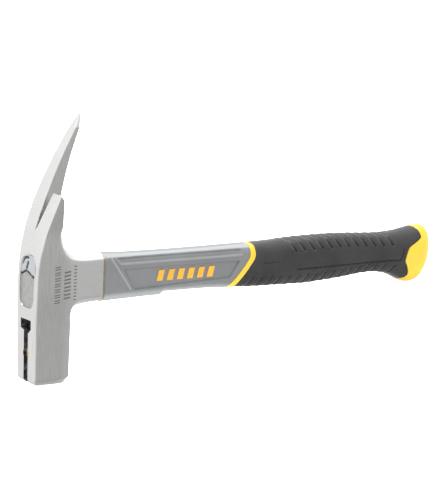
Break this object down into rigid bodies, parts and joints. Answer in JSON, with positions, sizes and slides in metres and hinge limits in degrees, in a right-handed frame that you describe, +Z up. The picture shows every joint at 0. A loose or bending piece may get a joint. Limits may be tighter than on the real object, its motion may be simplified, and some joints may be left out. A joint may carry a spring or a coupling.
{
  "type": "roofing claw hammer",
  "caption": "Roofer's claw hammer with a long spike, short nail claw, magnetic nail-starter groove, fibreglass shaft and moulded two-tone grip.",
  "frame": {"origin": "centre of the striking face, on the face", "axes": "+X runs from the head towards the butt and +Z up past the spike; the hammer leans 9.3 degrees about Y so that the rear edge of its striking face and its butt stand on one level. +Y is the side of the head that carries the spike."},
  "size_m": [0.331, 0.0317, 0.1713],
  "materials": {
    "steel": "ground and polished bright, fine grinding lines",
    "magnet": "dark sintered magnet, dull",
    "resin_amber": "set amber adhesive, glossy",
    "fibreglass": "pultruded fibreglass, matt",
    "resin_grey": "set potting resin, satin",
    "jacket_grey": "moulded grey plastic, satin",
    "yellow": "moulded yellow plastic, satin",
    "rubber_black": "soft textured rubber, matt"
  },
  "bodies": {
    "root": {"head": "steel", "nail_magnet": "magnet", "magnet_resin": "resin_amber", "shaft": "fibreglass", "eye_resin": "resin_grey", "shoulder_bead": "resin_amber", "jacket": "jacket_grey", "grip_collar": "yellow", "grip_sleeve": "rubber_black", "butt_cap": "yellow"}
  },
  "joints": []
}
